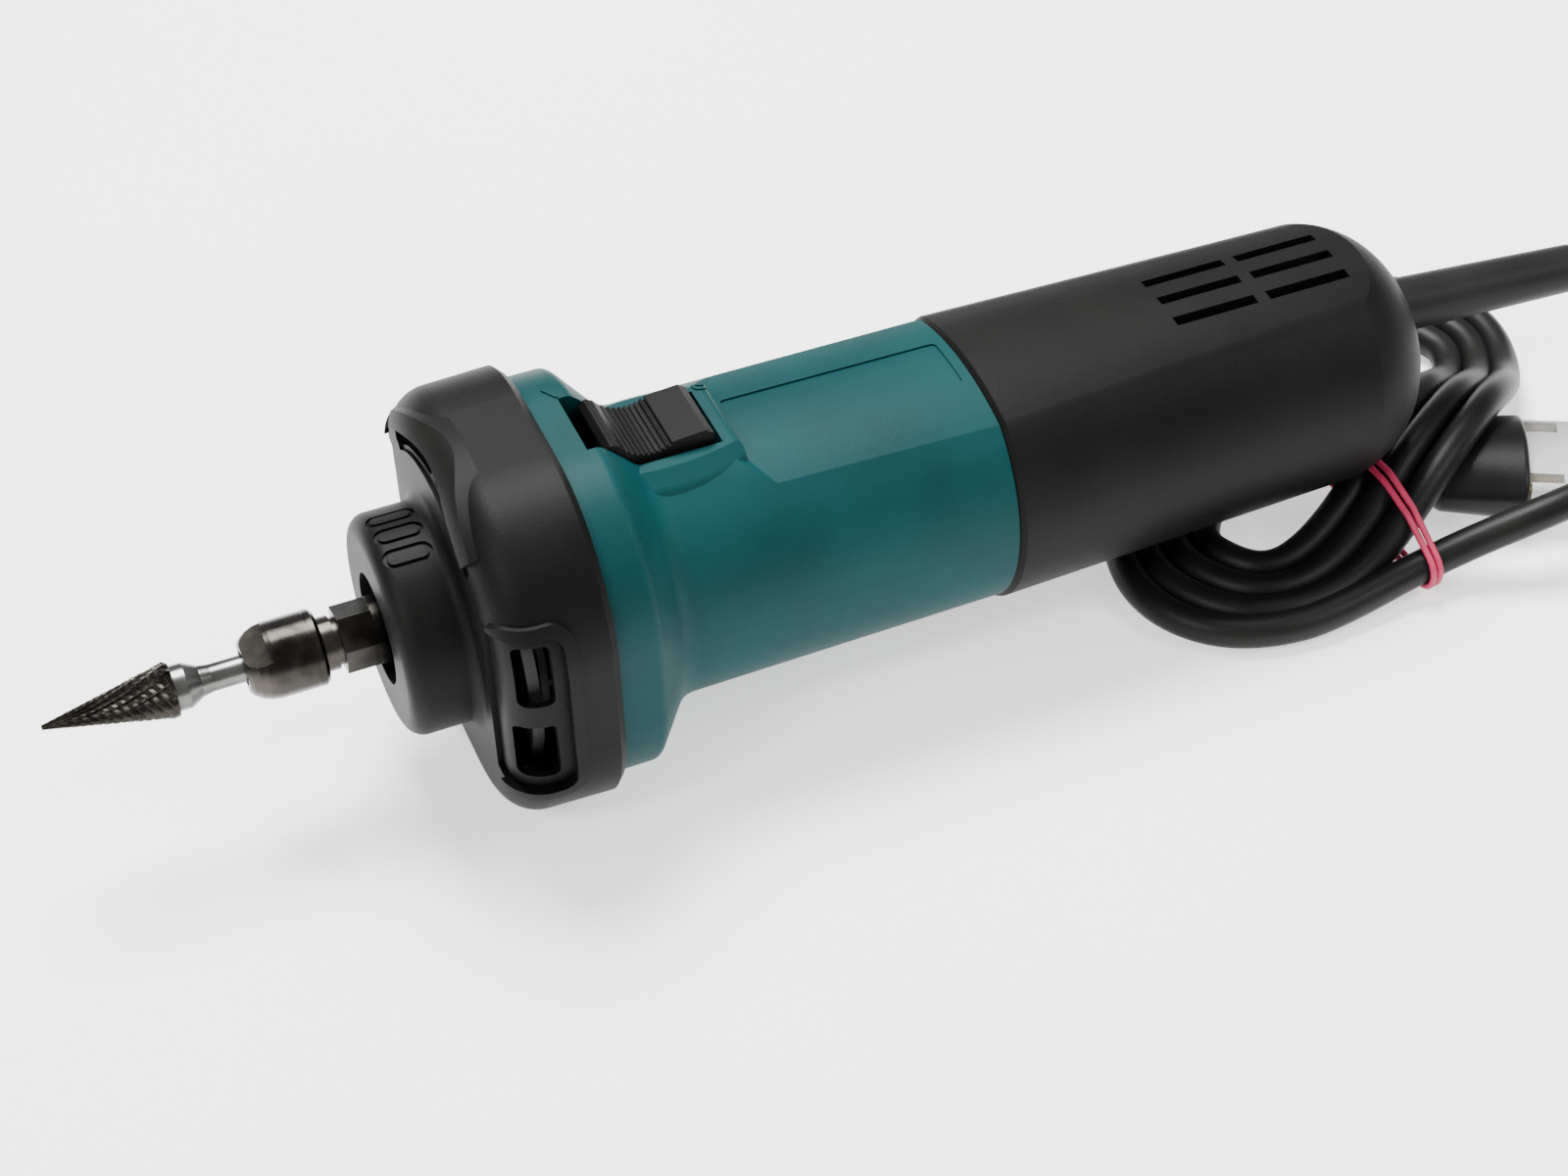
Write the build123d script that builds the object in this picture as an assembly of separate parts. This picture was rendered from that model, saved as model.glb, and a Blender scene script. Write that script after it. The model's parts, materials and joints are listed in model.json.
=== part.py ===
from build123d import *
import math
import os

os.makedirs("parts", exist_ok=True)

# A mains die grinder lying on a table. All sizes are in millimetres.
# Sub-parts are drawn in tool coordinates: x = 0 on the seam behind the black head,
# +x towards the cord, z = 0 on the spindle axis. place() moves them into the row frame.

# driving sizes
HEAD_HALF = 43.46          # half the head's width across its flats
HEAD_CORNER = 32.4         # corner radius of the rounded-square head
HEAD_LEN = 22.5            # seam to the head's front face
NOSE_R = 24.8
NOSE_FRONT = -37.7
BARREL_R = 32.3            # motor housing behind the shoulder
FLANGE_HALF = 40.6         # teal flange behind the head, half across its flats
FLANGE_CORNER = 31.0
FLANGE_LEN = 9.6
JOINT_X = 99.2             # where the rear cover starts
REAR_X = 212.0             # rear end of the cover
REAR_R = BARREL_R + 0.9     # the rear cover stands a little proud of the housing
CORD_R = 4.0
AXIS_H = HEAD_HALF         # the head's lower flat rests on the table
BURR_TIP = -110.3
GUARD_LEN = 52.0
WALL = 3.0
SCREW_REACH = 41.0 - WALL  # housing screws from the axis, clear of the head's wall
RUN = 0.04                 # radial clearance of a running fit
HEX_HALF = 6.5             # spindle hexagon for a 13 mm wrench
CORE_R = 18.6              # armature core
FIELD_R = BARREL_R - 5.7   # field core fills the barrel
FACET_R = 60.0             # gently crowned top of the rear cover
FACET_TOP = BARREL_R - 3.4  # its crown above the axis
SLIDE = 3.6                # travel of the slide switch
REC_LO, REC_HI = 9.6, 39.6  # ends of the switch recess
REC_HALF = 9.2
POD_HALF = 12.2            # raised surround of the recess, half its width at the top
POD_TOP = 32.5
POD_FOOT = 16.6            # half its width at the ledge along each side
POD_LEDGE = 29.2
REC_FLOOR = 26.3
GUARD_TILT = 4.6           # droop of the cord guard, degrees
GUARD_Z = 7.0              # guard root above the axis

LINK_LOW = 24.0            # flat rod between button and switch
LINK_TOP = 25.4
CLAMP_X = 188.0
CLAMP_Z = 8.75             # cord centre at the clamp, above the axis
PLUG_X, PLUG_Y, PLUG_Z = 240.3, -23.9, 9.6   # centre of the plug's face
PLUG_TURN = -28.0          # its heading, degrees from +X
COIL_X, COIL_Y, COIL_TURN = 204.0, 8.0, 33.0
COIL_H = 8.6
BAND_X, BAND_Y, BAND_TURN = 201.5, -29.0, -3.0

MID_X = (BURR_TIP + REAR_X + GUARD_LEN * math.cos(math.radians(GUARD_TILT))) / 2


def place(shape):
    return Pos(-MID_X, 0, AXIS_H) * shape


def on_floor(shape):
    return Pos(-MID_X, 0, 0) * shape


def save(node, shape):
    export_step(shape, "parts/" + node + ".step")
    print(node, round(shape.volume, 1), len(shape.solids()))


def station(x, ahead=True):
    """Plane across the tool at x, its local axes along Y and Z."""
    return Plane(origin=(x, 0, 0), x_dir=(0, 1, 0), z_dir=(1 if ahead else -1, 0, 0))


def turned(*points):
    """Solid of revolution about the spindle axis from (x, r) points."""
    return revolve(Plane.XZ * make_face(Polyline(*points, close=True)), Axis.X)


def tube(x0, x1, outer, inner=0.0):
    ring = Circle(outer)
    if inner:
        ring = ring - Circle(inner)
    return extrude(station(x0) * ring, x1 - x0)


def rounded(x, half, corner, ahead=True):
    return station(x, ahead) * RectangleRounded(2 * half, 2 * half, corner)


def block(x0, x1, y0, y1, z0, z1):
    return Pos((x0 + x1) / 2, (y0 + y1) / 2, (z0 + z1) / 2) * Box(x1 - x0, y1 - y0, z1 - z0)


def edges_at(shape, x, tol=0.05):
    """Edges lying wholly in the plane across the tool at x."""
    found = []
    for edge in shape.edges():
        box = edge.bounding_box()
        if abs(box.min.X - x) < tol and abs(box.max.X - x) < tol:
            found.append(edge)
    return found


def diagonal_spots(reach):
    """The four corner directions, at a distance from the axis."""
    side = reach / math.sqrt(2)
    return [(side, side), (-side, side), (-side, -side), (side, -side)]


# ---------------------------------------------------------------- head

def head_form(grow):
    """Solid rounded-square head without its nose, its skin moved outwards by grow."""
    body = extrude(rounded(0, HEAD_HALF + grow, HEAD_CORNER + grow, False), HEAD_LEN + grow, taper=1.5)
    return fillet(edges_at(body, -HEAD_LEN - grow), 9 + grow)


def head_shell():
    """Tapered rounded-square head with its nose, hollow inside."""
    nose = tube(NOSE_FRONT, -HEAD_LEN + 4, NOSE_R)
    nose = fillet(edges_at(nose, NOSE_FRONT), 4)
    body = head_form(0) + nose
    joint = [e for e in edges_at(body, -HEAD_LEN) if abs(e.bounding_box().max.Z - NOSE_R) < 0.1]
    body = fillet(joint, 2.5)
    body = body - head_form(-WALL)
    body = body - tube(NOSE_FRONT + 3.2, -HEAD_LEN + WALL + 0.1, NOSE_R - WALL)
    return body - tube(NOSE_FRONT - 1, NOSE_FRONT + 4, 12.5)


def side_grille(side):
    """Raised rim open to the front, sunk pocket and two air windows on one side of the head."""
    rim = block(-24.0, -6.4, 34.0, 60.0, -22.2, 25.8)
    rim = fillet(rim.edges().filter_by(Axis.Y), 5.0) & head_form(0.9)
    pocket = block(-30.0, -9.0, 30.0, 60.0, -19.8, 23.2)
    pocket = fillet(pocket.edges().filter_by(Axis.Y), 3.4) - head_form(-1.3)
    upper = block(-19.2, -11.6, 30.0, 60.0, 5.0, 20.4)
    lower = block(-20.4, -12.0, 30.0, 60.0, -15.8, -1.0)
    windows = fillet(upper.edges().filter_by(Axis.Y), 1.6) + fillet(lower.edges().filter_by(Axis.Y), 1.6)
    pieces = [rim, pocket, windows]
    if side < 0:
        return [mirror(piece, Plane.XZ) for piece in pieces]
    return pieces


def top_sector(r0, r1, x0, x1, half_turn):
    """Part of a ring about the spindle axis, centred on straight up."""
    reach = 80 * math.tan(math.radians(half_turn))
    wedge = make_face(Polyline((0, 0), (reach, 80), (-reach, 80), close=True))
    return extrude(station(x0) * ((Circle(r1) - Circle(r0)) & wedge), x1 - x0)


def top_grille():
    """Curved raised rib on the head's upper front edge, with two curved slots in a sunk strip."""
    rib = top_sector(40.6, 44.2, -24.0, -14.0, 37) & head_form(1.6)
    strip = top_sector(35.4, 40.0, -24.5, -18.0, 39) - head_form(-0.8)
    slots = []
    for start in (52.5, 93.5):
        line = CenterArc((0, 0), 37.9, start, 34.0)
        slots.append(extrude(station(-24.5) * SlotArc(line, 3.0), 10))
    return rib, strip, slots


def nose_marks():
    """Grooves that outline three obround marks on top of the nose."""
    grooves = None
    for turn in (-15, 0, 15):
        ring = SlotOverall(10.8, 4.8) - SlotOverall(9.0, 3.0)
        groove = Pos(-30.2, 0, NOSE_R - 0.75) * extrude(ring, 2)
        groove = Rot(turn, 0, 0) * groove
        grooves = groove if grooves is None else grooves + groove
    return grooves


def head_cover():
    body = head_shell()
    inside = head_form(-WALL)
    for side in (-1, 1):
        rim, pocket, windows = side_grille(side)
        body = body + (rim - inside) - pocket - windows
    rib, strip, slots = top_grille()
    body = body + (rib - inside) - strip
    for slot in slots:
        body = body - slot
    return body - nose_marks()


def baffle_plate():
    """Fan baffle clamped between head and motor housing; its rim is the ring seen at the seam."""
    rim = extrude(rounded(0, HEAD_HALF, HEAD_CORNER), 2.6)
    rim = chamfer(edges_at(rim, 2.6), 1.6)
    rim = rim - tube(-1, 3, 23)
    for y, z in diagonal_spots(SCREW_REACH):
        rim = rim - extrude(station(-1) * Pos(y, z) * Circle(2.0), 4)
    return rim


def bearing_box():
    """Light-alloy carrier for the front bearing, on four posts inside the head."""
    nose = tube(NOSE_FRONT + 3.4, -16, NOSE_R - WALL - 0.05, 14.0)
    disc = tube(-16, -13.5, 37.7, 14.0)
    body = nose + disc
    for y, z in diagonal_spots(SCREW_REACH):
        post = extrude(station(-16) * Pos(y, z) * Circle(3.6), 16)
        body = body + post
        body = body - extrude(station(-17) * Pos(y, z) * Circle(2.0), 20)
    lip = tube(NOSE_FRONT + 3.4, NOSE_FRONT + 4.6, 14.5, 11.8)
    return body + lip


def housing_screws():
    """Four screws through the bearing box posts into the motor housing."""
    screws = None
    for y, z in diagonal_spots(SCREW_REACH):
        shank = extrude(station(-16) * Pos(y, z) * Circle(2.0), 26)
        head = extrude(station(-18.4) * Pos(y, z) * Circle(3.4), 2.4)
        cross = extrude(station(-18.5) * Pos(y, z) * (Rectangle(3.6, 0.9) + Rectangle(0.9, 3.6)), 1.2)
        screw = shank + head - cross
        screws = screw if screws is None else screws + screw
    return screws


# ---------------------------------------------------------------- motor housing

def housing_outside():
    """Flange, sloping shoulder and barrel in one skin."""
    flange = extrude(rounded(2.6, FLANGE_HALF, FLANGE_CORNER), FLANGE_LEN)
    neck = loft([rounded(12.2, FLANGE_HALF, FLANGE_CORNER), rounded(21.0, BARREL_R + 0.6, BARREL_R + 0.5)])
    barrel = extrude(rounded(21.0, BARREL_R + 0.6, BARREL_R + 0.5), JOINT_X - 21.0, taper=0.4)
    return flange + neck + barrel


def bowed_face(half, height):
    """Flat outline widest beside the button, drawn in from there to both ends."""
    start, middle, end = 8.0, 24.0, REC_HI + 4
    near = ThreePointArc((start, -0.72 * half), (middle, -half), (end, -0.78 * half))
    far = ThreePointArc((end, 0.78 * half), (middle, half), (start, 0.72 * half))
    ends = [Line(near @ 1, far @ 0).edge(), Line(far @ 1, near @ 0).edge()]
    return Pos(0, 0, height) * make_face([near.edge(), far.edge()] + ends)


def switch_pod(grow):
    """Raised surround of the switch opening, swollen along both sides."""
    ledge = POD_LEDGE + grow
    foot = extrude(bowed_face(POD_FOOT + grow, 15.0), ledge - 15.0)
    slope = loft([bowed_face(POD_FOOT + grow, ledge), bowed_face(POD_HALF + grow, POD_TOP + grow)])
    pod = foot + slope
    ledges = [e for e in pod.edges() if abs(e.center().Z - ledge) < 0.1 and e.bounding_box().size.X > 20]
    pod = fillet(ledges, 3)
    ends = [e for e in pod.edges() if e.center().X > REC_HI + 3.9 and e.bounding_box().size.Y > 8]
    return fillet(ends, 2)


def housing_crown(inset):
    """Cylinder whose crown is the gently flattened top behind the switch."""
    return Pos(JOINT_X, 0, FACET_TOP - 0.2 - inset - FACET_R) * Rot(0, 90.9, 0) * Cylinder(FACET_R, 130)


def name_panel():
    """Shallow blank panel on the flattened top, left without lettering."""
    prism = Pos(71.0, 0, 15.0) * extrude(RectangleRounded(51.5, 15.4, 1.2), 30)
    return prism - housing_crown(0.45)


def switch_marks():
    """Raised bar for on and raised ring for off, beside the switch."""
    raised = 0.35
    bar = Pos(8.6, 11.5, 30) * Rot(0, 0, 120) * extrude(SlotOverall(4.6, 0.9), 15)
    ring = Pos(41.9, 10.6, 26) * extrude(Circle(1.8) - Circle(1.1), 15)
    flange = extrude(rounded(2.6, FLANGE_HALF + raised, FLANGE_CORNER + raised), FLANGE_LEN)
    return (bar & flange) + (ring & switch_pod(raised))


def motor_housing():
    body = housing_outside()
    edge = [e for e in edges_at(body, 12.2)]
    body = fillet(edge, 2.5)
    edge = [e for e in edges_at(body, 21.0)]
    body = fillet(edge, 7)
    ramp = Polyline((34, 34), (48, 26), (48, 18), (120, 18), (120, 60), (34, 60), close=True)
    above = extrude(Plane.XZ * make_face(ramp), 40, both=True)
    body = body - (above - housing_crown(0))
    body = body + (switch_pod(0) - tube(0, 60, BARREL_R - 3)) + switch_marks()
    # hollow inside
    body = body - tube(10.0, JOINT_X + 1, FIELD_R)
    body = body - tube(2.0, 10.5, 33.0)
    for y, z in diagonal_spots(SCREW_REACH):
        body = body - extrude(station(2) * Pos(y, z) * Circle(2.0), 8.2)
    # switch recess, with a floor slotted for the button's stem
    floor_plate = block(REC_LO - 1, REC_HI + 4, -REC_HALF - 1, REC_HALF + 1, REC_FLOOR - 0.5, REC_FLOOR + 1.0)
    body = body + floor_plate
    body = body - block(REC_LO, REC_HI, -REC_HALF, REC_HALF, REC_FLOOR + 1.0, 60)
    body = body - block(10.2, 13.4, -8.0, 8.0, REC_FLOOR - 2, REC_FLOOR + 3)
    return body - block(20.8 - SLIDE, 32.7, -3.7, 3.7, REC_FLOOR - 2, REC_FLOOR + 3)


# ---------------------------------------------------------------- rear cover

def rear_vents():
    vents = []
    for x0 in (149.0, 172.7):
        for y in (-7.5, 0, 7.5):
            vents.append(block(x0, x0 + 20.6, y - 1.35, y + 1.35, 18.0, 50.0))
    return vents


def tail_waste(inset):
    """Everything outside the turned curve that rounds off the rear end of the cover."""
    swing = 24.0
    low = 7.2
    end = REAR_X + 0.5 - inset
    centre_x = REAR_X + 0.5 - swing
    arc = CenterArc((centre_x, low), swing - inset, 0, 90)
    side = Polyline((centre_x, low + swing - inset), (centre_x, 60), (250, 60), (250, 0), (end, 0), (end, low))
    return revolve(Plane.XZ * make_face([arc.edge()] + side.edges()), Axis.X)


def cover_section(x, radius, crown, soft):
    """Round section with a gently crowned flat top, joined by two softer arcs."""
    top = crown - FACET_R
    swing = radius - soft
    flat_swing = FACET_R - soft
    # centre of the softer arcs, which touch both the round side and the crowned top
    rise = (swing ** 2 - flat_swing ** 2 + top ** 2) / (2 * top)
    across = math.sqrt(swing ** 2 - rise ** 2)
    side = (across * radius / swing, rise * radius / swing)
    ridge = (across * FACET_R / flat_swing, top + (rise - top) * FACET_R / flat_swing)
    middle = math.atan2(side[1], side[0]) / 2 + math.atan2(ridge[1] - top, ridge[0]) / 2
    soft_point = (across + soft * math.cos(middle), rise + soft * math.sin(middle))
    arcs = [
        ThreePointArc(side, soft_point, ridge).edge(),
        ThreePointArc(ridge, (0, crown), (-ridge[0], ridge[1])).edge(),
        ThreePointArc((-ridge[0], ridge[1]), (-soft_point[0], soft_point[1]), (-side[0], side[1])).edge(),
        ThreePointArc((-side[0], side[1]), (0, -radius), side).edge(),
    ]
    return station(x) * make_face(arcs)


def cover_form(inset):
    """Slightly tapering body of the rear cover with its rounded end, its skin moved inwards by inset."""
    narrower, lower = 2.7, 0.5
    front = cover_section(JOINT_X, REAR_R - inset, FACET_TOP - inset, 9 - inset)
    rear = cover_section(REAR_X + 0.5, REAR_R - narrower - inset, FACET_TOP - lower - inset, 9 - inset)
    return loft([front, rear]) - tail_waste(inset)


def rear_cover():
    body = cover_form(0)
    body = chamfer(edges_at(body, JOINT_X), 1.5)
    body = body - cover_form(2.8)
    for vent in rear_vents():
        body = body - vent
    body = body - guard_bar(6.8, 6.8, -12, 8)
    boss = extrude(Pos(150, 0, -29) * Circle(3.6), 9)
    body = body + (boss & block(120, 180, -10, 10, -29.8, -19))
    body = body - extrude(Pos(150, 0, -40) * Circle(3.5), 9.8)
    return body - extrude(Pos(150, 0, -40) * Circle(1.6), 22)


def cover_screw():
    """Screw up through the underside of the rear cover into the clamp boss."""
    shank = Pos(150, 0, -30.4) * extrude(Circle(1.6), 11)
    head = Pos(150, 0, -32.0) * extrude(Circle(3.2), 1.8)
    return head + shank


# ---------------------------------------------------------------- cord guard

def guard_line(along):
    """Point on the guard's drooping centre line, measured from the cover's rear end."""
    tilt = math.radians(GUARD_TILT)
    return (REAR_X + along * math.cos(tilt), 0, GUARD_Z - along * math.sin(tilt))


def guard_bar(r0, r1, a0, a1):
    """Round bar or taper on the guard's line between two distances."""
    plane = Plane(origin=guard_line(a0), x_dir=(0, 1, 0), z_dir=Vector(*guard_line(1)) - Vector(*guard_line(0)))
    if r0 == r1:
        return extrude(plane * Circle(r0), a1 - a0)
    end = Plane(origin=guard_line(a1), x_dir=(0, 1, 0), z_dir=plane.z_dir)
    return loft([plane * Circle(r0), end * Circle(r1)])


def cord_guard():
    sleeve = guard_bar(6.75, 5.7, -8, GUARD_LEN)
    collar = guard_bar(9.5, 9.5, -11, -7)
    sleeve = fillet([e for e in sleeve.edges() if e.center().X > REAR_X + 40], 1.2)
    return (sleeve + collar) - guard_bar(CORD_R, CORD_R, -12, GUARD_LEN + 1)


# ---------------------------------------------------------------- rotor

def spindle_shaft():
    """One shaft from the collet thread to the rear bearing."""
    body = turned(
        (-58.0, 0), (-58.0, 6.0), (-46.4, 6.0), (-46.4, 7.5), (-35.0, 7.5), (-34.0, 8.4), (-33.0, 8.4),
        (-33.0, 6.0), (-16.0, 6.0), (-16.0, 5.0), (88.0, 5.0), (88.0, 4.0), (96.0, 4.0), (96.0, 0),
    )
    for turn in range(0, 360, 60):
        body = body - Rot(turn - 18, 0, 0) * block(-46.5, -39.0, -9, 9, HEX_HALF, 9)
    groove = tube(-47.6, -46.4, 7, 5.3)
    return body - groove - tube(-59, -36, 4.4) - turned((-59, 0), (-59, 5.7), (-54, 4.4), (-54, 0))


def collet():
    """Split sleeve that grips the burr's shank."""
    body = turned(
        (-62.0, 3.0 + RUN), (-62.0, 4.4), (-59.6, 5.6), (-58.3, 5.4), (-54.0, 4.35), (-37.0, 4.35),
        (-37.0, 3.0 + RUN),
    )
    slit = block(-63, -45, -0.3, 0.3, 0, 8)
    for turn in (0, 120, 240):
        body = body - Rot(turn, 0, 0) * slit
    return body


def collet_nut():
    """Round nut with a domed nose, two milled facets and a fine groove at its rear."""
    outer = 8.45
    body = turned(
        (-67.2, 3.9), (-67.2, 5.4), (-66.5, 6.3), (-65.0, 7.4), (-63.2, 8.1), (-61.0, outer), (-51.3, outer),
        (-50.5, 7.7), (-50.5, 6.0 + RUN), (-58.6, 6.0 + RUN), (-59.4, 6.1), (-62.6, 4.6), (-63.0, 3.9),
    )
    facet = Pos(-61.6, 0, 6.3) * Rot(0, -15, 0) * Pos(-6, 0, 3) * Box(12.0, 20.0, 6.0)
    facet = facet & block(-70, -61.6, -10, 10, 0, 20)
    for turn in (10, 190):
        body = body - Rot(turn, 0, 0) * facet
    return body - tube(-53.0, -52.6, 9, outer - 0.25)


def burr_shank():
    return turned(
        (-82.3, 0), (-82.3, 5.0), (-79.6, 5.0), (-76.6, 3.4), (-74.3, 3.0), (-44.0, 3.0), (-43.4, 2.4), (-43.4, 0),
    )


def burr_head():
    """Pointed carbide cone, brazed to the front of the shank."""
    return turned((BURR_TIP, 0), (BURR_TIP, 0.5), (-83.4, 6.2), (-82.3, 5.8), (-82.3, 0))


def armature_core():
    body = tube(27.0, 63.0, CORE_R, 5.0)
    slot = block(26, 64, -0.9, 0.9, 11.5, 20)
    pocket = extrude(station(26) * Pos(0, 13.2) * Circle(1.9), 38)
    for turn in range(0, 360, 30):
        body = body - Rot(turn, 0, 0) * (slot + pocket)
    return body


def armature_windings():
    """End turns of the armature's copper, one ring each side of the core."""
    front = fillet(tube(19.0, 27.0, 16.2, 5.0).edges().filter_by(GeomType.CIRCLE).sort_by(SortBy.RADIUS)[-2:], 2.4)
    rear = fillet(tube(63.0, 69.5, 15.4, 5.0).edges().filter_by(GeomType.CIRCLE).sort_by(SortBy.RADIUS)[-2:], 2.0)
    return front + rear


def commutator():
    body = tube(69.5, 84.0, 10.6, 5.0)
    body = body - tube(72.5, 85, 12, 10.0)
    for turn in range(0, 360, 15):
        body = body - Rot(turn, 0, 0) * block(72.5, 85, -0.25, 0.25, 9.2, 11)
    return body


def cooling_fan():
    """Centrifugal fan behind the front bearing."""
    body = tube(-11.5, -9.8, 31.0, 5.0) + tube(-9.8, -1.5, 8.6, 5.0)
    blade = block(-9.8, -2.0, -0.8, 0.8, 9.6, 21.5)
    vane = block(-9.8, -3.4, -0.8, 0.8, 20.5, 30.6)
    for turn in range(0, 360, 30):
        body = body + Rot(turn, 0, 0) * (blade + vane)
    return body


def bearing(x0, width, bore, outer, inner_part):
    third = (outer - bore) / 3
    if inner_part:
        return tube(x0, x0 + width, bore + third, bore)
    return tube(x0, x0 + width, outer, outer - third) + tube(
        x0 + 0.6, x0 + width - 0.6, outer - third + 0.1, bore + third + 0.35)


def bearing_rings(inner_part):
    front = bearing(-33.0, 8.0, 6.0, 14.0, inner_part)
    rear = bearing(88.0, 7.0, 4.0, 11.0, inner_part)
    return front + rear


# ---------------------------------------------------------------- motor, fixed side

def field_core():
    """Laminated stator with two poles above and below the armature."""
    ring = tube(25.0, 65.0, FIELD_R, CORE_R + 0.6)
    for side in (-1, 1):
        gap = block(24, 66, min(side * 12, side * 24.2), max(side * 12, side * 24.2), -10.6, 10.6)
        ring = ring - gap
    return ring - block(24, 66, -REC_HALF - 1.2, REC_HALF + 1.2, LINK_LOW - 0.6, 40)


def field_coils():
    """Two stator windings lying in the side gaps, with their end turns."""
    coils = None
    for side in (-1, 1):
        bar = block(19.0, 71.0, min(side * 20.0, side * 23.8), max(side * 20.0, side * 23.8), -10.2, 10.2)
        bar = fillet(bar.edges().filter_by(Axis.X), 1.5)
        coils = bar if coils is None else coils + bar
    return coils


def end_web():
    """Wall across the rear of the motor housing that seats the rear bearing."""
    web = tube(85.5, 87.0, FIELD_R, 6.0) + tube(85.5, 96.5, 15.0, 12.6)
    web = web + tube(85.5, 87.0, 15.0, 6.0)
    for turn in (45, 135, 225, 315):
        web = web - Rot(turn, 0, 0) * block(85, 88, -5, 5, 17, 24)
    return web - block(84, 88, -4.2, 4.2, LINK_LOW - 0.6, LINK_TOP + 0.6)


def bearing_cup():
    """Rubber cup round the rear bearing."""
    return tube(87.0, 96.5, 12.6, 11.0) + tube(95.3, 96.5, 12.6, 9.0)


def brush_holder(side):
    low, high = (11.4, 25.6) if side > 0 else (-25.6, -11.4)
    body = block(73.0, 83.0, low, high, -5.5, 5.5)
    return body - block(75.0, 81.0, -28, 28, -3.5, 3.5)


def brush_holders():
    return brush_holder(1) + brush_holder(-1)


def carbon_brushes():
    pair = None
    for side in (-1, 1):
        low, high = (10.1, 20.0) if side > 0 else (-20.0, -10.1)
        brush = block(75.05, 80.95, low, high, -3.45, 3.45) - tube(74, 82, 10.35)
        pair = brush if pair is None else pair + brush
    return pair


def brush_springs():
    """Coiled strip springs that press the brushes in."""
    pair = None
    for side in (-1, 1):
        drum = Pos(78, side * 22.9, 0) * Cylinder(2.8, 5.4) - Pos(78, side * 22.9, 0) * Cylinder(2.0, 6)
        pair = drum if pair is None else pair + drum
    return pair


# ---------------------------------------------------------------- switch

def switch_button():
    """Thumb slide: hooked front lip, scooped ribbed middle, plain rear."""
    front = Polyline((14.4, 30.0), (13.6, 37.6), (15.2, 39.2), (17.0, 38.2))
    scoop = ThreePointArc((17.0, 38.2), (21.8, 34.7), (28.6, 35.6))
    back = Polyline((28.6, 35.6), (36.2, 36.2), (38.0, 34.8), (38.2, 30.0), (14.4, 30.0))
    body = extrude(Plane.XZ * make_face(front.edges() + [scoop.edge()] + back.edges()), 8.4, both=True)
    body = fillet(body.edges().filter_by(Axis.Y).sort_by(Axis.Z)[-3:], 0.8)
    centre = scoop.edge().arc_center
    pitch = 1.2
    for k in range(9):
        x = 18.2 + pitch * k
        dip = centre.Y - math.sqrt(scoop.edge().radius ** 2 - (x - centre.X) ** 2)
        body = body - block(x, x + 0.6, -9, 9, dip - 0.55, 45)
    stem = block(21.2, 32.2, -3.2, 3.2, LINK_TOP, 30.2)
    return body + stem


def switch_link():
    """Long flat rod carrying the button's movement back over the motor."""
    rod = block(16.0, 118.0, -3.4, 3.4, LINK_LOW, LINK_TOP)
    return rod + block(114.0, 118.0, -3.4, 3.4, 17.6, LINK_LOW)


def switch_slider():
    """The switch unit's own sliding key, held by the link's hook."""
    return block(112.5, 119.5, -3.0, 3.0, 14.35, 17.6)


def switch_body():
    body = block(101.0, 138.0, -8.9, 8.9, -2.0, 14.0)
    return fillet(body.edges().filter_by(Axis.Z), 1)


def suppressor_capacitor():
    body = block(142.0, 158.0, -8.9, 8.9, -4.0, 9.0)
    return fillet(body.edges().filter_by(Axis.Z), 2)


def switch_rails():
    """Two arms behind the end web that hold the switch and the capacitor."""
    rails = None
    for side in (-1, 1):
        rail = block(86.0, 160.0, min(side * 8.9, side * 11.0), max(side * 8.9, side * 11.0), -6.0, 10.0)
        rails = rail if rails is None else rails + rail
    return rails - tube(80, 97, 14)


# ---------------------------------------------------------------- cord and plug

def clamp_seat():
    seat = block(CLAMP_X, CLAMP_X + 9, -10, 10, -26.5, CLAMP_Z - CORD_R - 0.7)
    for y in (-7, 7):
        seat = seat - Pos(CLAMP_X + 4.5, y, -5) * extrude(Circle(1.5), 30)
    return seat


def cord_clamp():
    """Bar across the cord inside the rear cover."""
    bar = block(CLAMP_X, CLAMP_X + 9, -10, 10, CLAMP_Z + CORD_R + 0.4, CLAMP_Z + CORD_R + 3)
    for y in (-10, 10):
        low, high = (5.0, 10.0) if y > 0 else (-10.0, -5.0)
        bar = bar + block(CLAMP_X, CLAMP_X + 9, low, high, CLAMP_Z - CORD_R - 0.7, CLAMP_Z + CORD_R + 0.4)
    for y in (-7, 7):
        bar = bar - Pos(CLAMP_X + 4.5, y, -5) * extrude(Circle(1.5), 30)
    return bar


def clamp_screws():
    screws = None
    for y in (-7, 7):
        spot = Pos(CLAMP_X + 4.5, y, CLAMP_Z + CORD_R + 3)
        screw = spot * Pos(0, 0, -16) * extrude(Circle(1.5), 16) + spot * extrude(Circle(2.9), 1.8)
        screws = screw if screws is None else screws + screw
    return screws


def lead_points():
    """Corner points of the cord's free stretch, x from the seam and z above the table."""
    root = guard_line(GUARD_LEN)
    tip = guard_line(GUARD_LEN + 34)
    return [
        (root[0], 0, root[2] + AXIS_H),
        (tip[0], 0, tip[2] + AXIS_H),
        (342, 14, 22),
        (392, 46, CORD_R + 0.2),
        (448, 2, CORD_R + 0.2),
        (416, -66, CORD_R + 0.2),
        (346, -64, CORD_R + 0.2),
        (296, -49, 7.0),
        (266, -43.5, 19.5),
        (234, -48.5, 19.5),
        (207, -41, 7.5),
    ]


def cord_entry():
    """The cord's straight stretch from the clamp through the guard."""
    return guard_bar(CORD_R, CORD_R, CLAMP_X - 4 - REAR_X, GUARD_LEN)


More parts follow.
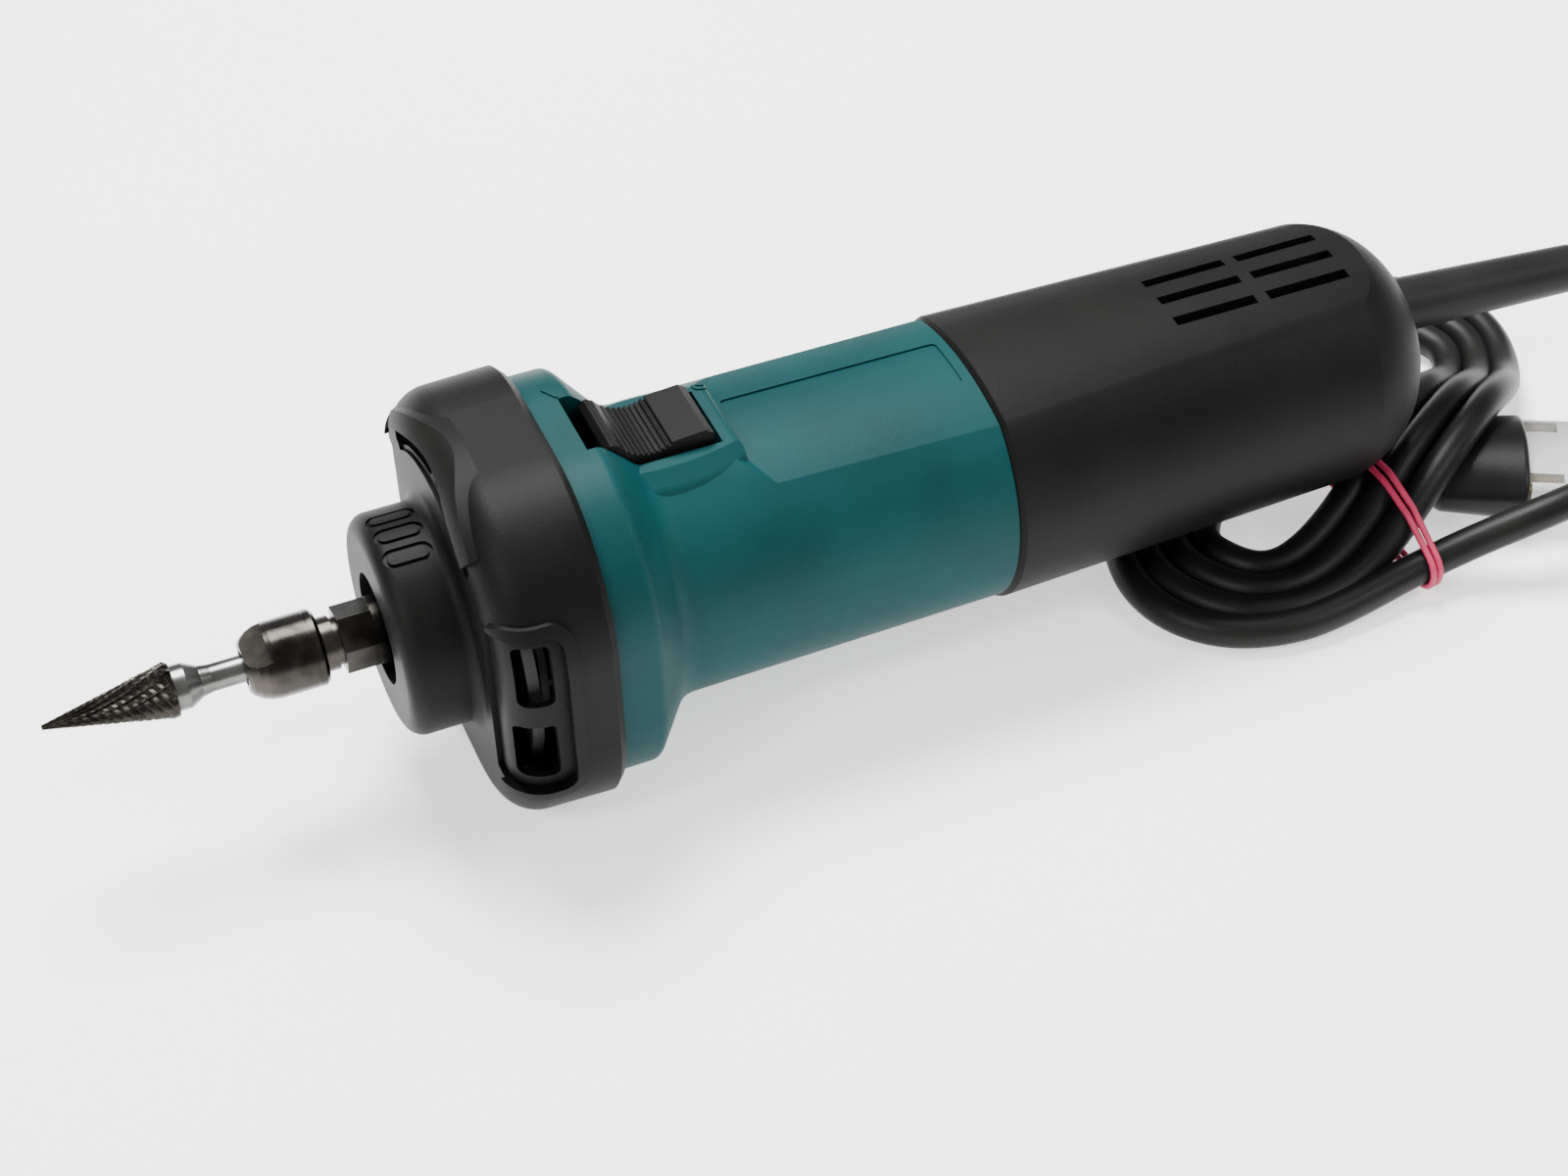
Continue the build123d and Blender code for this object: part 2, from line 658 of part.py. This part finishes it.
def bend_radii(points):
    """Each bend takes 0.45 of the shorter straight run beside it."""
    radii = []
    for before, here, after in zip(points, points[1:], points[2:]):
        run_in = Vector(*here) - Vector(*before)
        run_out = Vector(*after) - Vector(*here)
        turn = math.radians(run_in.get_angle(run_out))
        radii.append(0.45 * min(run_in.length, run_out.length) / math.tan(turn / 2))
    return radii


def cord_tube(points, radii):
    if radii:
        path = FilletPolyline(*points, radius=radii)
    else:
        path = Line(*points)
    start = Plane(origin=points[0], z_dir=Vector(*points[1]) - Vector(*points[0]))
    return sweep(start * Circle(CORD_R), path=path), path.length


def plug_plane(back):
    """Plane across the plug, a distance behind its face, local axes sideways and up."""
    turn = math.radians(PLUG_TURN)
    ahead = (math.cos(turn), math.sin(turn), 0)
    origin = (PLUG_X - back * ahead[0], PLUG_Y - back * ahead[1], PLUG_Z)
    return Plane(origin=origin, x_dir=(-ahead[1], ahead[0], 0), z_dir=ahead)


def plug_body():
    """Moulded two-pin plug: flat oval head tapering to a round neck."""
    head = loft([plug_plane(20) * Ellipse(14.5, 8.8), plug_plane(0) * Ellipse(16.0, PLUG_Z)])
    head = fillet(head.faces().sort_by(Axis((0, 0, 0), tuple(plug_plane(0).z_dir)))[-1].edges(), 1.2)
    shoulder = loft([plug_plane(30) * Circle(6.2), plug_plane(20) * Ellipse(14.5, 8.8)])
    neck = extrude(plug_plane(35) * Circle(5.6), 5)
    body = head + shoulder + neck
    for y in (-9.5, 9.5):
        body = body - extrude(plug_plane(8) * Pos(y, 0) * Circle(2.0), 10)
    return body


def plug_pins():
    pins = None
    for y in (-9.5, 9.5):
        pin = extrude(plug_plane(8) * Pos(y, 0) * Circle(2.0), 27)
        pin = fillet(pin.edges().sort_by(Axis((0, 0, 0), tuple(plug_plane(0).z_dir)))[-1], 1.6)
        pins = pin if pins is None else pins + pin
    return pins


def pin_cover():
    """Clear guard slipped over the pins, with a slot above each pin."""
    ahead = plug_plane(-0.6)
    body = extrude(ahead * RectangleRounded(27, 9.6, 2), 20.5)
    for y in (-9.5, 9.5):
        body = body - extrude(plug_plane(0) * Pos(y, 0) * Circle(2.0), 19.4)
        window = extrude(plug_plane(-0.5) * Pos(y, 2.6) * Rectangle(3.4, 5.2), 8.0)
        body = body - window
    return body


def coil_outline(a, b):
    return Pos(COIL_X, COIL_Y) * Rot(0, 0, COIL_TURN) * Ellipse(a, b)


def coil_ring(grow, low, high):
    outline = coil_outline(80 + grow, 46 + grow) - coil_outline(47 - grow, 13 - grow)
    return Pos(0, 0, low) * extrude(outline, high - low)


def coil_solid():
    """Outer shape of the wound-up cord lying on the table."""
    ring = coil_ring(0, 0, COIL_H)
    return fillet(ring.edges().group_by(Axis.Z)[-1], 3.0)


def rubber_band():
    """Two strands of a rubber band round the near side of the coil."""
    sleeve = coil_ring(1.1, 0, COIL_H + 1.1)
    sleeve = fillet(sleeve.edges().group_by(Axis.Z)[-1], 3.6) - (coil_solid() & coil_ring(5, 0.9, 20))
    strands = None
    for shift in (-2.0, 1.0):
        slab = Pos(BAND_X + shift, BAND_Y, 5) * Rot(0, 0, BAND_TURN) * Box(1.6, 50, 30)
        strand = sleeve & slab
        strands = strand if strands is None else strands + strand
    return strands


def build():
    housing = motor_housing() + end_web() + switch_rails()
    housing = housing - name_panel()
    cover = rear_cover() + clamp_seat()
    nodes = {
        "head_cover": head_cover(),
        "baffle_plate": baffle_plate(),
        "bearing_box": bearing_box(),
        "housing_screws": housing_screws(),
        "motor_housing": housing,
        "rear_cover": cover,
        "cover_screw": cover_screw(),
        "cord_guard": cord_guard(),
        "spindle_shaft": spindle_shaft(),
        "collet": collet(),
        "collet_nut": collet_nut(),
        "burr_shank": burr_shank(),
        "burr_head": burr_head(),
        "armature_core": armature_core(),
        "armature_windings": armature_windings(),
        "commutator": commutator(),
        "cooling_fan": cooling_fan(),
        "bearing_inner_rings": bearing_rings(True),
        "bearing_outer_rings": bearing_rings(False),
        "field_core": field_core(),
        "field_coils": field_coils(),
        "bearing_cup": bearing_cup(),
        "brush_holders": brush_holders(),
        "carbon_brushes": carbon_brushes(),
        "brush_springs": brush_springs(),
        "switch_button": switch_button(),
        "switch_link": switch_link(),
        "switch_slider": switch_slider(),
        "switch_body": switch_body(),
        "suppressor_capacitor": suppressor_capacitor(),
        "cord_clamp": cord_clamp(),
        "clamp_screws": clamp_screws(),
    }
    for node, shape in nodes.items():
        save(node, place(shape))

    points = lead_points()
    radii = bend_radii(points)
    print("lead bend radii", [round(r) for r in radii])
    lead, length = cord_tube(points, radii)
    print("lead length", round(length), "volume check", round(lead.volume / (math.pi * CORD_R ** 2 * length), 4))
    tail, tail_length = cord_tube([tuple(plug_plane(32).origin), (184.0, 12.0, 4.6)], [])
    print("tail length", round(tail_length))
    band = rubber_band() - tail
    plug_room = extrude(plug_plane(31) * RectangleRounded(37, 26, 6), 54)
    coil = coil_solid() - band - plug_body() - plug_room
    save("cord_entry", place(cord_entry()))
    save("cord_lead", on_floor(lead))
    save("cord_tail", on_floor(tail))
    save("cord_coil", on_floor(coil.solids().sort_by(SortBy.VOLUME)[-1]))
    save("rubber_band", on_floor(band))
    save("plug_body", on_floor(plug_body() - tail))
    save("plug_pins", on_floor(plug_pins()))
    save("pin_cover", on_floor(pin_cover()))


build()
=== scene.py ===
import json
import math

import bpy
from mathutils import Matrix, Vector


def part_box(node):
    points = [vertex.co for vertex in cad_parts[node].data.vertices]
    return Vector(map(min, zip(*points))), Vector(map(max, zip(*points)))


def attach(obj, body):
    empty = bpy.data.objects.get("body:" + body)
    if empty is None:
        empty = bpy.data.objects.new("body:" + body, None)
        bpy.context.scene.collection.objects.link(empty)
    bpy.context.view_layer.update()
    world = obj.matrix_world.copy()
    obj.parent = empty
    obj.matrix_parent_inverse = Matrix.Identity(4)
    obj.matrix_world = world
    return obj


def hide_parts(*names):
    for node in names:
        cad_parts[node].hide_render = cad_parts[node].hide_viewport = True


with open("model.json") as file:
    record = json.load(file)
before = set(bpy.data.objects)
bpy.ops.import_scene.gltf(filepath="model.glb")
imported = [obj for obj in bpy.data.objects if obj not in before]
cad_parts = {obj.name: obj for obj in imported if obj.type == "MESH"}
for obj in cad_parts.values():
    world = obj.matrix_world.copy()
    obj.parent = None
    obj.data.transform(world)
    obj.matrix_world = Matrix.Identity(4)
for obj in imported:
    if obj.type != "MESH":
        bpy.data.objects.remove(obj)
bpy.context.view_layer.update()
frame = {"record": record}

MM = 0.001
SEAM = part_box("head_cover")[1].x          # x of the seam behind the black head
AXIS_Z = (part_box("spindle_shaft")[0].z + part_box("spindle_shaft")[1].z) / 2
CORD_R = 4.0 * MM


def spot(x, y, z):
    """A point from millimetres: x from the seam, z above the table."""
    return Vector((SEAM + x * MM, y * MM, z * MM))


# ---------------------------------------------------------------- camera, floor and light

LENS, SENSOR = 66.15, 36                  # millimetres
HEADING, DOWNWARD, ROLL = -21.83, 42.91, -1.63    # degrees
EYE = (-123.1, -447.6, 467.7)             # the camera's place, as spot() takes it


def add_camera():
    data = bpy.data.cameras.new("camera")
    data.lens = LENS
    data.sensor_width = SENSOR
    camera = bpy.data.objects.new("camera", data)
    heading = Matrix.Rotation(math.radians(HEADING), 4, "Z")
    pitch = Matrix.Rotation(math.radians(90 - DOWNWARD), 4, "X")
    roll = Matrix.Rotation(math.radians(ROLL), 4, "Z")
    camera.matrix_world = Matrix.Translation(spot(*EYE)) @ heading @ pitch @ roll
    bpy.context.scene.collection.objects.link(camera)
    bpy.context.scene.camera = camera


def add_light(name, place, target, size, watts):
    data = bpy.data.lights.new(name, "AREA")
    data.shape = "DISK"
    data.size = size
    data.energy = watts
    light = bpy.data.objects.new(name, data)
    light.location = place
    light.rotation_euler = (Vector(target) - Vector(place)).to_track_quat("-Z", "Y").to_euler()
    bpy.context.scene.collection.objects.link(light)


def add_lights():
    """A broad light above, two weak ones in front, and an even white surround."""
    middle = (0.02, 0, 0.03)
    add_light("overhead", (0.0, 0.5, 1.25), middle, size=0.7, watts=50)
    add_light("side", (-0.9, -0.5, 1.0), middle, size=0.3, watts=9)
    add_light("fill", (0.9, -0.7, 1.1), middle, size=0.5, watts=8)
    world = bpy.data.worlds.new("studio")
    world.use_nodes = True
    surround = world.node_tree.nodes["Background"]
    surround.inputs["Color"].default_value = (1, 1, 1, 1)
    surround.inputs["Strength"].default_value = 0.6
    bpy.context.scene.world = world


def add_floor():
    """Pale paper that glows a little, so that it shows nearly white."""
    mesh = bpy.data.meshes.new("floor")
    half = 3.0
    corners = [(-half, -half, 0), (half, -half, 0), (half, half, 0), (-half, half, 0)]
    mesh.from_pydata(corners, [], [(0, 1, 2, 3)])
    floor = bpy.data.objects.new("floor", mesh)
    bpy.context.scene.collection.objects.link(floor)
    paper = grained("floor_paper", (0.95, 0.95, 0.945), (0.98, 0.98, 0.975), 0.85, scale=40)
    shader = paper.node_tree.nodes["Principled BSDF"]
    shader.inputs["Emission Color"].default_value = (1, 1, 1, 1)
    shader.inputs["Emission Strength"].default_value = 0.9
    floor.data.materials.append(paper)


# ---------------------------------------------------------------- materials

def grained(name, dark, light, rough, metal=0.0, scale=300, bump=0.0, wear=0.08, shine_level=0.5):
    """A surface whose colour and roughness drift with a soft noise, with an optional fine grain."""
    material = bpy.data.materials.new(name)
    material.use_nodes = True
    nodes, links = material.node_tree.nodes, material.node_tree.links
    shader = nodes["Principled BSDF"]
    shader.inputs["Metallic"].default_value = metal
    shader.inputs["Specular IOR Level"].default_value = shine_level
    where = nodes.new("ShaderNodeTexCoord")
    drift = nodes.new("ShaderNodeTexNoise")
    drift.inputs["Scale"].default_value = scale / 8
    drift.inputs["Detail"].default_value = 6
    links.new(where.outputs["Object"], drift.inputs["Vector"])
    ramp = nodes.new("ShaderNodeValToRGB")
    ramp.color_ramp.elements[0].position = 0.35
    ramp.color_ramp.elements[1].position = 0.7
    ramp.color_ramp.elements[0].color = (*dark, 1)
    ramp.color_ramp.elements[1].color = (*light, 1)
    links.new(drift.outputs["Fac"], ramp.inputs["Fac"])
    links.new(ramp.outputs["Color"], shader.inputs["Base Color"])
    shine = nodes.new("ShaderNodeMapRange")
    shine.inputs["To Min"].default_value = rough - wear
    shine.inputs["To Max"].default_value = rough + wear
    links.new(drift.outputs["Fac"], shine.inputs["Value"])
    links.new(shine.outputs["Result"], shader.inputs["Roughness"])
    if bump:
        grain = nodes.new("ShaderNodeTexNoise")
        grain.inputs["Scale"].default_value = scale * 9
        grain.inputs["Detail"].default_value = 3
        links.new(where.outputs["Object"], grain.inputs["Vector"])
        relief = nodes.new("ShaderNodeBump")
        relief.inputs["Strength"].default_value = bump
        relief.inputs["Distance"].default_value = 0.0003
        links.new(grain.outputs["Fac"], relief.inputs["Height"])
        links.new(relief.outputs["Normal"], shader.inputs["Normal"])
    return material


def surface(dark, light, rough, **look):
    """How one material looks: its darker and lighter colour, its roughness and what else differs."""
    return {"dark": dark, "light": light, "rough": rough, **look}


SURFACES = {
    # seen plastics and rubbers
    "black_plastic": surface((0.0025, 0.0025, 0.0024), (0.005, 0.005, 0.0046), 0.5,
                             bump=0.2, shine_level=0.09),
    "teal_plastic": surface((0.0004, 0.03, 0.033), (0.001, 0.042, 0.045), 0.5,
                            bump=0.2, shine_level=0.1),
    "soft_rubber": surface((0.006, 0.006, 0.006), (0.011, 0.011, 0.0105), 0.5,
                           bump=0.2, shine_level=0.16),
    "cord_sheath": surface((0.004, 0.004, 0.0038), (0.008, 0.008, 0.0073), 0.42,
                           bump=0.2, shine_level=0.16),
    "red_rubber": surface((0.36, 0.015, 0.06), (0.5, 0.03, 0.09), 0.5, scale=900),
    "plug_plastic": surface((0.004, 0.004, 0.004), (0.009, 0.009, 0.009), 0.36,
                            bump=0.15, shine_level=0.2),
    "clear_plastic": surface((0.58, 0.59, 0.58), (0.72, 0.72, 0.71), 0.3, scale=500),
    # metals
    "pin_metal": surface((0.5, 0.34, 0.12), (0.66, 0.5, 0.22), 0.24, metal=1.0, scale=600),
    "alloy_casting": surface((0.02, 0.02, 0.021), (0.05, 0.05, 0.05), 0.55, metal=0.7),
    "dark_steel": surface((0.013, 0.012, 0.0105), (0.06, 0.055, 0.048), 0.28,
                          metal=1.0, scale=700, wear=0.12),
    "bright_steel": surface((0.05, 0.05, 0.048), (0.16, 0.16, 0.155), 0.26, metal=1.0, scale=700),
    "carbide": surface((0.01, 0.0095, 0.008), (0.04, 0.036, 0.03), 0.3, metal=1.0, scale=900),
    "lamination_steel": surface((0.2, 0.2, 0.2), (0.3, 0.3, 0.31), 0.5, metal=0.9),
    "copper_wire": surface((0.45, 0.16, 0.06), (0.6, 0.25, 0.1), 0.35, metal=0.8),
    # inside
    "grey_plastic": surface((0.2, 0.2, 0.2), (0.28, 0.28, 0.28), 0.5),
    "carbon": surface((0.03, 0.03, 0.03), (0.06, 0.06, 0.06), 0.6),
    "fan_plastic": surface((0.03, 0.03, 0.03), (0.05, 0.05, 0.05), 0.5),
}


def make_materials():
    """One material for each slot, with the pin guard's made see-through."""
    made = {name: grained(name, **look) for name, look in SURFACES.items()}
    shader = made["clear_plastic"].node_tree.nodes["Principled BSDF"]
    shader.inputs["Transmission Weight"].default_value = 0.3
    shader.inputs["IOR"].default_value = 1.45
    return made


def dress_frame(materials):
    """Give every CAD node the surface named by its slot in the record."""
    for row in frame["record"]["subparts"]:
        name = row["node"]
        piece = bpy.data.objects.get(name)
        if piece is None or piece.type != "MESH":
            continue
        piece.data.materials.clear()
        piece.data.materials.append(materials[row["material_slot"]])


# ---------------------------------------------------------------- cord

GUARD_END = (263.83, 0, 46.29)
COIL_X, COIL_Y, COIL_TURN = 204.0, 8.0, math.radians(33.0)
COIL_LONG, COIL_SHORT = 76, 42            # half length and half width of the outer lane
COIL_START = math.radians(-108.6)         # where the free stretch joins the outer lane
LANES = 3.39                              # turns from the outer lane to the tail
PITCH = 8.3                               # distance between neighbouring lanes
SQUARER = 0.35                            # how much squarer each lane is than the one outside it
STEPS_PER_TURN = 26
LIE = 4.3                                 # height of a strand's centre on the table
PLUG_X, PLUG_Y, PLUG_TURN = 240.3, -23.9, math.radians(-28.0)     # the plug's face
TAIL = ((46, 8.5), (34, 9.6))             # distance behind the plug's face, and height

# A strand that crosses the plug is lifted. Distances run along the plug from its face, + along the pins.
LIFT, LIFT_REACH = 19.5, 42.0             # lift over the body, and how far to the side it starts
LIFT_FRONT = 20                           # no lift beyond this
NECK_START, NECK_TAPER, NECK_DROP = -27, 10, 4.5      # the lift is lower over the thinner neck
FALL_START, FALL_LENGTH = -33, 27         # behind the plug it falls back to the table


def lead_route():
    """The free stretch from the guard round to the coil, as in the part's source."""
    points = [
        GUARD_END, (297.72, 0, 43.56), (342, 14, 22), (392, 46, 4.2), (448, 2, 4.2), (416, -66, 4.2),
        (346, -64, 4.2), (296, -49, 7.0), (266, -43.5, 19.5), (234, -48.5, 19.5), (207, -41, 7.5),
    ]
    return [spot(*point) for point in points]


def over_plug(x, y):
    """How far a strand is lifted where it crosses the plug lying below it."""
    away = (x - PLUG_X) * math.cos(PLUG_TURN) + (y - PLUG_Y) * math.sin(PLUG_TURN)
    aside = -(x - PLUG_X) * math.sin(PLUG_TURN) + (y - PLUG_Y) * math.cos(PLUG_TURN)
    if away > LIFT_FRONT or away < FALL_START - FALL_LENGTH:
        return 0.0
    height = LIFT
    if away < NECK_START:
        height -= NECK_DROP * min((NECK_START - away) / NECK_TAPER, 1)
    if away < FALL_START:
        height *= 1 - (FALL_START - away) / FALL_LENGTH
    fade = max(0.0, 1 - (aside / LIFT_REACH) ** 2)
    return height * fade ** 1.5


def coil_route():
    """Rounded turns winding inwards from the outer lane on the table."""
    points = []
    for step in range(2, int(LANES * STEPS_PER_TURN) + 1):
        lap = step / STEPS_PER_TURN
        angle = COIL_START - 2 * math.pi * lap
        power = 2 / (2.0 + SQUARER * lap)
        u = (COIL_LONG - PITCH * lap) * rounded(math.cos(angle), power)
        v = (COIL_SHORT - PITCH * lap) * rounded(math.sin(angle), power)
        x = COIL_X + u * math.cos(COIL_TURN) - v * math.sin(COIL_TURN)
        y = COIL_Y + u * math.sin(COIL_TURN) + v * math.cos(COIL_TURN)
        points.append(spot(x, y, LIE + over_plug(x, y)))
    return points


def rounded(part, power):
    """A sine or cosine raised to a power, with its sign kept, as on a squarish oval."""
    return math.copysign(abs(part) ** power, part)


def tail_route():
    """From the inner lane to the plug's neck."""
    ahead = Vector((math.cos(PLUG_TURN), math.sin(PLUG_TURN)))
    points = []
    for back, height in TAIL:
        points.append(spot(PLUG_X - back * ahead.x, PLUG_Y - back * ahead.y, height))
    return points


def add_cord(material):
    """One round cord in place of the CAD's three stretches."""
    points = lead_route() + coil_route() + tail_route()
    data = bpy.data.curves.new("mains_cord", "CURVE")
    data.dimensions = "3D"
    spline = data.splines.new("NURBS")
    spline.points.add(len(points) - 1)
    for slot, point in zip(spline.points, points):
        slot.co = (*point, 1)
    spline.order_u = 3
    spline.use_endpoint_u = True
    data.resolution_u = 6
    data.bevel_depth = CORD_R
    data.bevel_resolution = 5
    data.use_fill_caps = True
    data.materials.append(material)
    cord = bpy.data.objects.new("mains_cord", data)
    bpy.context.scene.collection.objects.link(cord)
    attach(cord, "housing")
    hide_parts("cord_lead", "cord_coil", "cord_tail")
    return cord


def centre_line(cord):
    """Points along the cord's smooth line."""
    bare = cord.copy()
    bare.data = cord.data.copy()
    bare.data.bevel_depth = 0
    mesh = bpy.data.meshes.new_from_object(bare)
    line = [vertex.co.copy() for vertex in mesh.vertices]
    bpy.data.objects.remove(bare)
    return line


# ---------------------------------------------------------------- burr and rubber band

BURR_TIP, BURR_WIDE, BURR_BACK = -110.3, -83.4, -82.3     # x of the cone's tip, widest ring and back
BURR_R, BURR_TIP_R, BURR_EASE = 6.2, 0.5, 0.4             # widest and tip radius, and the back's easing
FLUTES, FLUTE_TWIST = 14, 0.0105          # long teeth round the cone, and their turns per millimetre
NICKS, NICK_TWIST = 9, -0.052             # the crossing cuts, likewise
TOOTH_DEEP, TOOTH_SHARE = 0.62, 0.16      # deepest tooth, and its share of the radius near the tip
NICK_DEEP, NICK_WIDE = 0.55, 0.55         # depth against a tooth's, and width against the spacing
CLIMB = 0.78                              # share of a tooth that rises slowly


def burr_radius(x):
    """Radius of the plain cone at x."""
    if x < BURR_WIDE:
        return BURR_TIP_R + (BURR_R - BURR_TIP_R) * (x - BURR_TIP) / (BURR_WIDE - BURR_TIP)
    return BURR_R - BURR_EASE * (x - BURR_WIDE) / (BURR_BACK - BURR_WIDE)


def tooth(phase):
    """Saw-shaped rise and fall between 0 and 1: a slow climb, then a quick drop."""
    part = phase % 1.0
    return part / CLIMB if part < CLIMB else (1.0 - part) / (1.0 - CLIMB)


def toothed_radius(x, turn):
    """Radius of the cut cone at x and at a share of a turn round it."""
    radius = burr_radius(x)
    deep = min(TOOTH_DEEP, TOOTH_SHARE * radius)
    climb = tooth(FLUTES * (turn + FLUTE_TWIST * (x - BURR_TIP)))
    nick = tooth(NICKS * (turn + NICK_TWIST * (x - BURR_TIP)))
    return radius - deep * (1 - climb) - NICK_DEEP * deep * max(0.0, NICK_WIDE - nick)


def add_burr(material):
    """Cone with spiral teeth nicked by a second spiral, as on a double-cut burr."""
    around, along = 360, 200
    points, faces = [], []
    for row in range(along + 1):
        x = BURR_TIP + (BURR_BACK - BURR_TIP) * row / along
        place = spot(x, 0, 0)
        for step in range(around):
            here = toothed_radius(x, step / around) * MM
            angle = 2 * math.pi * step / around
            points.append((place.x, here * math.cos(angle), AXIS_Z + here * math.sin(angle)))
    for row in range(along):
        for step in range(around):
            beside = (step + 1) % around
            faces.append((row * around + step, row * around + beside,
                          (row + 1) * around + beside, (row + 1) * around + step))
    faces.append(tuple(range(around)))
    faces.append(tuple(along * around + step for step in reversed(range(around))))
    mesh = bpy.data.meshes.new("burr_teeth")
    mesh.from_pydata(points, [], faces)
    mesh.update()
    burr = bpy.data.objects.new("burr_teeth", mesh)
    bpy.context.scene.collection.objects.link(burr)
    mesh.materials.append(material)
    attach(burr, "burr")
    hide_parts("burr_head")


BAND_R = 0.8
BAND_SEAT = 0.85                          # from the cord's skin or the table to the band's centre
STRANDS = ((200.2, -0.03), (202.1, -0.02))        # x of each strand, and its lean along x per y
BAND_MIDDLE = 25                          # distance in front of the axis where the lean is nought
BAND_FRONT, BAND_REAR = -60, 6            # y between which the strands go round the cord
ROUND_STEPS = 16


def hull_round(centres, grow):
    """Points of the taut loop round circles of one size, as an outline in the section plane."""
    samples = []
    for across, up in centres:
        for step in range(ROUND_STEPS):
            angle = 2 * math.pi * step / ROUND_STEPS
            height = max(BAND_SEAT, up + grow * math.sin(angle))
            samples.append((across + grow * math.cos(angle), height))
    samples.sort()
    outline = []
    for sweep in (samples, list(reversed(samples))):
        part = []
        for point in sweep:
            while len(part) > 1 and turn_of(part[-2], part[-1], point) <= 0:
                part.pop()
            part.append(point)
        outline += part[:-1]
    return outline


def turn_of(a, b, c):
    """Above nought where the path from a by b to c turns left."""
    return (b[0] - a[0]) * (c[1] - a[1]) - (b[1] - a[1]) * (c[0] - a[0])


def crossings(line, x, y_low, y_high):
    """Where the cord's centre line passes the upright plane at x, as (y, z) in millimetres."""
    found = []
    for before, after in zip(line, line[1:]):
        a, b = (before.x - SEAM) / MM, (after.x - SEAM) / MM
        if (a - x) * (b - x) > 0 or a == b:
            continue
        part = (x - a) / (b - a)
        place = before.lerp(after, part)
        y, z = place.y / MM, place.z / MM
        if y_low < y < y_high:
            found.append((y, z))
    return found


def add_band(line, material):
    """Rubber band: two taut loops round the near side of the coil."""
    data = bpy.data.curves.new("coil_band", "CURVE")
    data.dimensions = "3D"
    data.bevel_depth = BAND_R * MM
    data.bevel_resolution = 3
    for x, lean in STRANDS:
        outline = hull_round(crossings(line, x, BAND_FRONT, BAND_REAR), CORD_R / MM + BAND_SEAT)
        spline = data.splines.new("POLY")
        spline.points.add(len(outline) - 1)
        for slot, (y, z) in zip(spline.points, outline):
            slot.co = (*spot(x + lean * (y + BAND_MIDDLE), y, z), 1)
        spline.use_cyclic_u = True
    data.materials.append(material)
    band = bpy.data.objects.new("coil_band", data)
    bpy.context.scene.collection.objects.link(band)
    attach(band, "housing")
    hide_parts("rubber_band")
    return band


# ---------------------------------------------------------------- scene

materials = make_materials()
add_camera()
add_floor()
add_lights()
dress_frame(materials)
cord = add_cord(materials["cord_sheath"])
cord_line = centre_line(cord)
add_burr(materials["carbide"])
band = add_band(cord_line, materials["red_rubber"])
